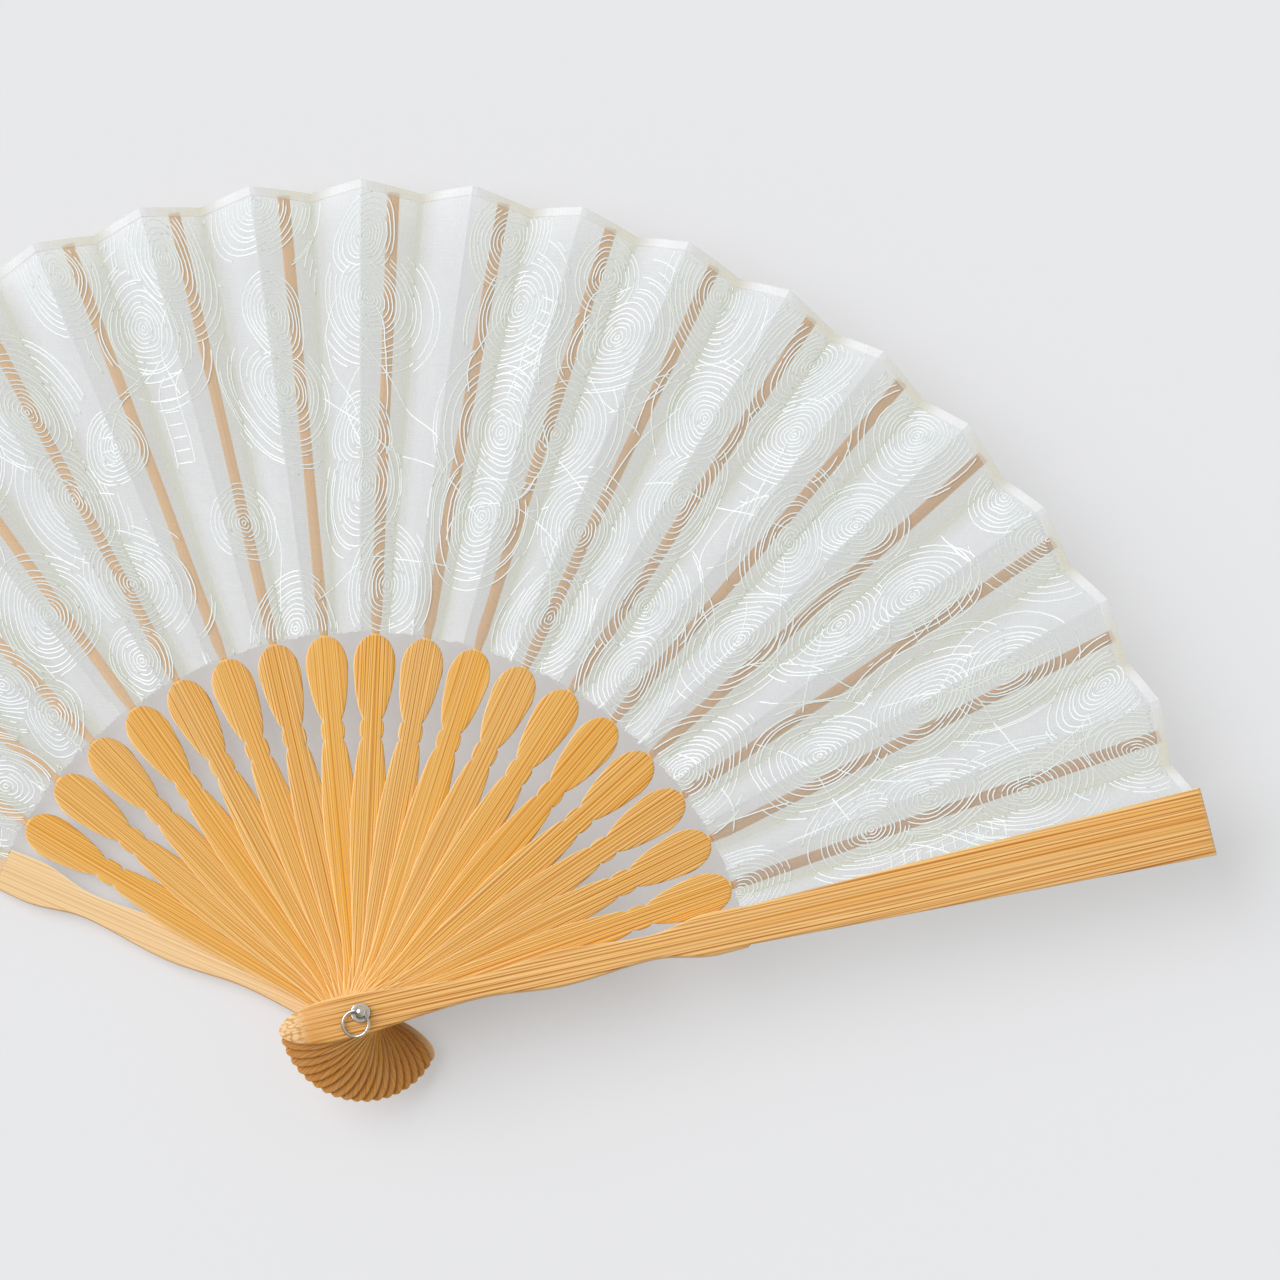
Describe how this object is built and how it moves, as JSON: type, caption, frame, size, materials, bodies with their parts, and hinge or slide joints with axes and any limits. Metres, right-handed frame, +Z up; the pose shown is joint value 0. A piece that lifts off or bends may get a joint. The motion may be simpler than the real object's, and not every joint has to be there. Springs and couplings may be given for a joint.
{
  "type": "folding fan",
  "caption": "Folding hand fan with shaped bamboo ribs, two guards, a pleated sheer leaf, and a rivet with a small tassel ring. It opens and closes.",
  "frame": {"origin": "on the rivet's axis, at the flat face of its back head, which is the lowest face", "axes": "+Z up the rivet from the back guard to the front guard, +Y down the middle of the open fan, +X to the right, towards the front guard"},
  "size_m": [0.3682, 0.2076, 0.0273],
  "materials": {
    "bamboo_guard": "satin",
    "bamboo_rib": "satin",
    "leaf_cloth": "matte",
    "rivet_metal": "gloss"
  },
  "bodies": {
    "back_guard": {"back_guard": "bamboo_guard", "rivet_pin": "rivet_metal", "rivet_eye": "rivet_metal", "leaf_fold_01": "leaf_cloth"},
    "rib_01": {"rib_01": "bamboo_rib", "leaf_panel_01": "leaf_cloth", "leaf_fold_02": "leaf_cloth"},
    "rib_02": {"rib_02": "bamboo_rib", "leaf_panel_02": "leaf_cloth", "leaf_fold_03": "leaf_cloth"},
    "rib_03": {"rib_03": "bamboo_rib", "leaf_panel_03": "leaf_cloth", "leaf_fold_04": "leaf_cloth"},
    "rib_04": {"rib_04": "bamboo_rib", "leaf_panel_04": "leaf_cloth", "leaf_fold_05": "leaf_cloth"},
    "rib_05": {"rib_05": "bamboo_rib", "leaf_panel_05": "leaf_cloth", "leaf_fold_06": "leaf_cloth"},
    "rib_06": {"rib_06": "bamboo_rib", "leaf_panel_06": "leaf_cloth", "leaf_fold_07": "leaf_cloth"},
    "rib_07": {"rib_07": "bamboo_rib", "leaf_panel_07": "leaf_cloth", "leaf_fold_08": "leaf_cloth"},
    "rib_08": {"rib_08": "bamboo_rib", "leaf_panel_08": "leaf_cloth", "leaf_fold_09": "leaf_cloth"},
    "rib_09": {"rib_09": "bamboo_rib", "leaf_panel_09": "leaf_cloth", "leaf_fold_10": "leaf_cloth"},
    "rib_10": {"rib_10": "bamboo_rib", "leaf_panel_10": "leaf_cloth", "leaf_fold_11": "leaf_cloth"},
    "rib_11": {"rib_11": "bamboo_rib", "leaf_panel_11": "leaf_cloth", "leaf_fold_12": "leaf_cloth"},
    "rib_12": {"rib_12": "bamboo_rib", "leaf_panel_12": "leaf_cloth", "leaf_fold_13": "leaf_cloth"},
    "rib_13": {"rib_13": "bamboo_rib", "leaf_panel_13": "leaf_cloth", "leaf_fold_14": "leaf_cloth"},
    "rib_14": {"rib_14": "bamboo_rib", "leaf_panel_14": "leaf_cloth", "leaf_fold_15": "leaf_cloth"},
    "rib_15": {"rib_15": "bamboo_rib", "leaf_panel_15": "leaf_cloth", "leaf_fold_16": "leaf_cloth"},
    "rib_16": {"rib_16": "bamboo_rib", "leaf_panel_16": "leaf_cloth", "leaf_fold_17": "leaf_cloth"},
    "rib_17": {"rib_17": "bamboo_rib", "leaf_panel_17": "leaf_cloth", "leaf_fold_18": "leaf_cloth"},
    "rib_18": {"rib_18": "bamboo_rib", "leaf_panel_18": "leaf_cloth", "leaf_fold_19": "leaf_cloth"},
    "front_guard": {"front_guard": "bamboo_guard"},
    "tassel_ring": {"tassel_ring": "rivet_metal"}
  },
  "joints": [
    {"name": "rib_01_fold", "type": "hinge", "parent": "back_guard", "child": "rib_01", "pos_m": [0, 0, 0], "axis": [0, 0, 1], "range_deg": [0, 7.6], "deforming": ["leaf_fold_01"]},
    {"name": "rib_02_fold", "type": "hinge", "parent": "rib_01", "child": "rib_02", "pos_m": [0, 0, 0], "axis": [0, 0, 1], "range_deg": [0, 7.6], "deforming": ["leaf_fold_02"]},
    {"name": "rib_03_fold", "type": "hinge", "parent": "rib_02", "child": "rib_03", "pos_m": [0, 0, 0], "axis": [0, 0, 1], "range_deg": [0, 7.6], "deforming": ["leaf_fold_03"]},
    {"name": "rib_04_fold", "type": "hinge", "parent": "rib_03", "child": "rib_04", "pos_m": [0, 0, 0], "axis": [0, 0, 1], "range_deg": [0, 7.6], "deforming": ["leaf_fold_04"]},
    {"name": "rib_05_fold", "type": "hinge", "parent": "rib_04", "child": "rib_05", "pos_m": [0, 0, 0], "axis": [0, 0, 1], "range_deg": [0, 7.6], "deforming": ["leaf_fold_05"]},
    {"name": "rib_06_fold", "type": "hinge", "parent": "rib_05", "child": "rib_06", "pos_m": [0, 0, 0], "axis": [0, 0, 1], "range_deg": [0, 7.6], "deforming": ["leaf_fold_06"]},
    {"name": "rib_07_fold", "type": "hinge", "parent": "rib_06", "child": "rib_07", "pos_m": [0, 0, 0], "axis": [0, 0, 1], "range_deg": [0, 7.6], "deforming": ["leaf_fold_07"]},
    {"name": "rib_08_fold", "type": "hinge", "parent": "rib_07", "child": "rib_08", "pos_m": [0, 0, 0], "axis": [0, 0, 1], "range_deg": [0, 7.6], "deforming": ["leaf_fold_08"]},
    {"name": "rib_09_fold", "type": "hinge", "parent": "rib_08", "child": "rib_09", "pos_m": [0, 0, 0], "axis": [0, 0, 1], "range_deg": [0, 7.6], "deforming": ["leaf_fold_09"]},
    {"name": "rib_10_fold", "type": "hinge", "parent": "rib_09", "child": "rib_10", "pos_m": [0, 0, 0], "axis": [0, 0, 1], "range_deg": [0, 7.6], "deforming": ["leaf_fold_10"]},
    {"name": "rib_11_fold", "type": "hinge", "parent": "rib_10", "child": "rib_11", "pos_m": [0, 0, 0], "axis": [0, 0, 1], "range_deg": [0, 7.6], "deforming": ["leaf_fold_11"]},
    {"name": "rib_12_fold", "type": "hinge", "parent": "rib_11", "child": "rib_12", "pos_m": [0, 0, 0], "axis": [0, 0, 1], "range_deg": [0, 7.6], "deforming": ["leaf_fold_12"]},
    {"name": "rib_13_fold", "type": "hinge", "parent": "rib_12", "child": "rib_13", "pos_m": [0, 0, 0], "axis": [0, 0, 1], "range_deg": [0, 7.6], "deforming": ["leaf_fold_13"]},
    {"name": "rib_14_fold", "type": "hinge", "parent": "rib_13", "child": "rib_14", "pos_m": [0, 0, 0], "axis": [0, 0, 1], "range_deg": [0, 7.6], "deforming": ["leaf_fold_14"]},
    {"name": "rib_15_fold", "type": "hinge", "parent": "rib_14", "child": "rib_15", "pos_m": [0, 0, 0], "axis": [0, 0, 1], "range_deg": [0, 7.6], "deforming": ["leaf_fold_15"]},
    {"name": "rib_16_fold", "type": "hinge", "parent": "rib_15", "child": "rib_16", "pos_m": [0, 0, 0], "axis": [0, 0, 1], "range_deg": [0, 7.6], "deforming": ["leaf_fold_16"]},
    {"name": "rib_17_fold", "type": "hinge", "parent": "rib_16", "child": "rib_17", "pos_m": [0, 0, 0], "axis": [0, 0, 1], "range_deg": [0, 7.6], "deforming": ["leaf_fold_17"]},
    {"name": "rib_18_fold", "type": "hinge", "parent": "rib_17", "child": "rib_18", "pos_m": [0, 0, 0], "axis": [0, 0, 1], "range_deg": [0, 7.6], "deforming": ["leaf_fold_18"]},
    {"name": "front_guard_fold", "type": "hinge", "parent": "rib_18", "child": "front_guard", "pos_m": [0, 0, 0], "axis": [0, 0, 1], "range_deg": [0, 6.5], "deforming": ["leaf_fold_19"]},
    {"name": "tassel_ring_flip", "type": "hinge", "parent": "back_guard", "child": "tassel_ring", "pos_m": [0, 0, 0.026], "axis": [-0.9511, 0.309, 0], "range_deg": [0, 145]}
  ],
  "couplings": [
    {"joint": "rib_02_fold", "follows": "rib_01_fold", "ratio": 1},
    {"joint": "rib_03_fold", "follows": "rib_01_fold", "ratio": 1},
    {"joint": "rib_04_fold", "follows": "rib_01_fold", "ratio": 1},
    {"joint": "rib_05_fold", "follows": "rib_01_fold", "ratio": 1},
    {"joint": "rib_06_fold", "follows": "rib_01_fold", "ratio": 1},
    {"joint": "rib_07_fold", "follows": "rib_01_fold", "ratio": 1},
    {"joint": "rib_08_fold", "follows": "rib_01_fold", "ratio": 1},
    {"joint": "rib_09_fold", "follows": "rib_01_fold", "ratio": 1},
    {"joint": "rib_10_fold", "follows": "rib_01_fold", "ratio": 1},
    {"joint": "rib_11_fold", "follows": "rib_01_fold", "ratio": 1},
    {"joint": "rib_12_fold", "follows": "rib_01_fold", "ratio": 1},
    {"joint": "rib_13_fold", "follows": "rib_01_fold", "ratio": 1},
    {"joint": "rib_14_fold", "follows": "rib_01_fold", "ratio": 1},
    {"joint": "rib_15_fold", "follows": "rib_01_fold", "ratio": 1},
    {"joint": "rib_16_fold", "follows": "rib_01_fold", "ratio": 1},
    {"joint": "rib_17_fold", "follows": "rib_01_fold", "ratio": 1},
    {"joint": "rib_18_fold", "follows": "rib_01_fold", "ratio": 1},
    {"joint": "front_guard_fold", "follows": "rib_01_fold", "ratio": 0.85526}
  ]
}
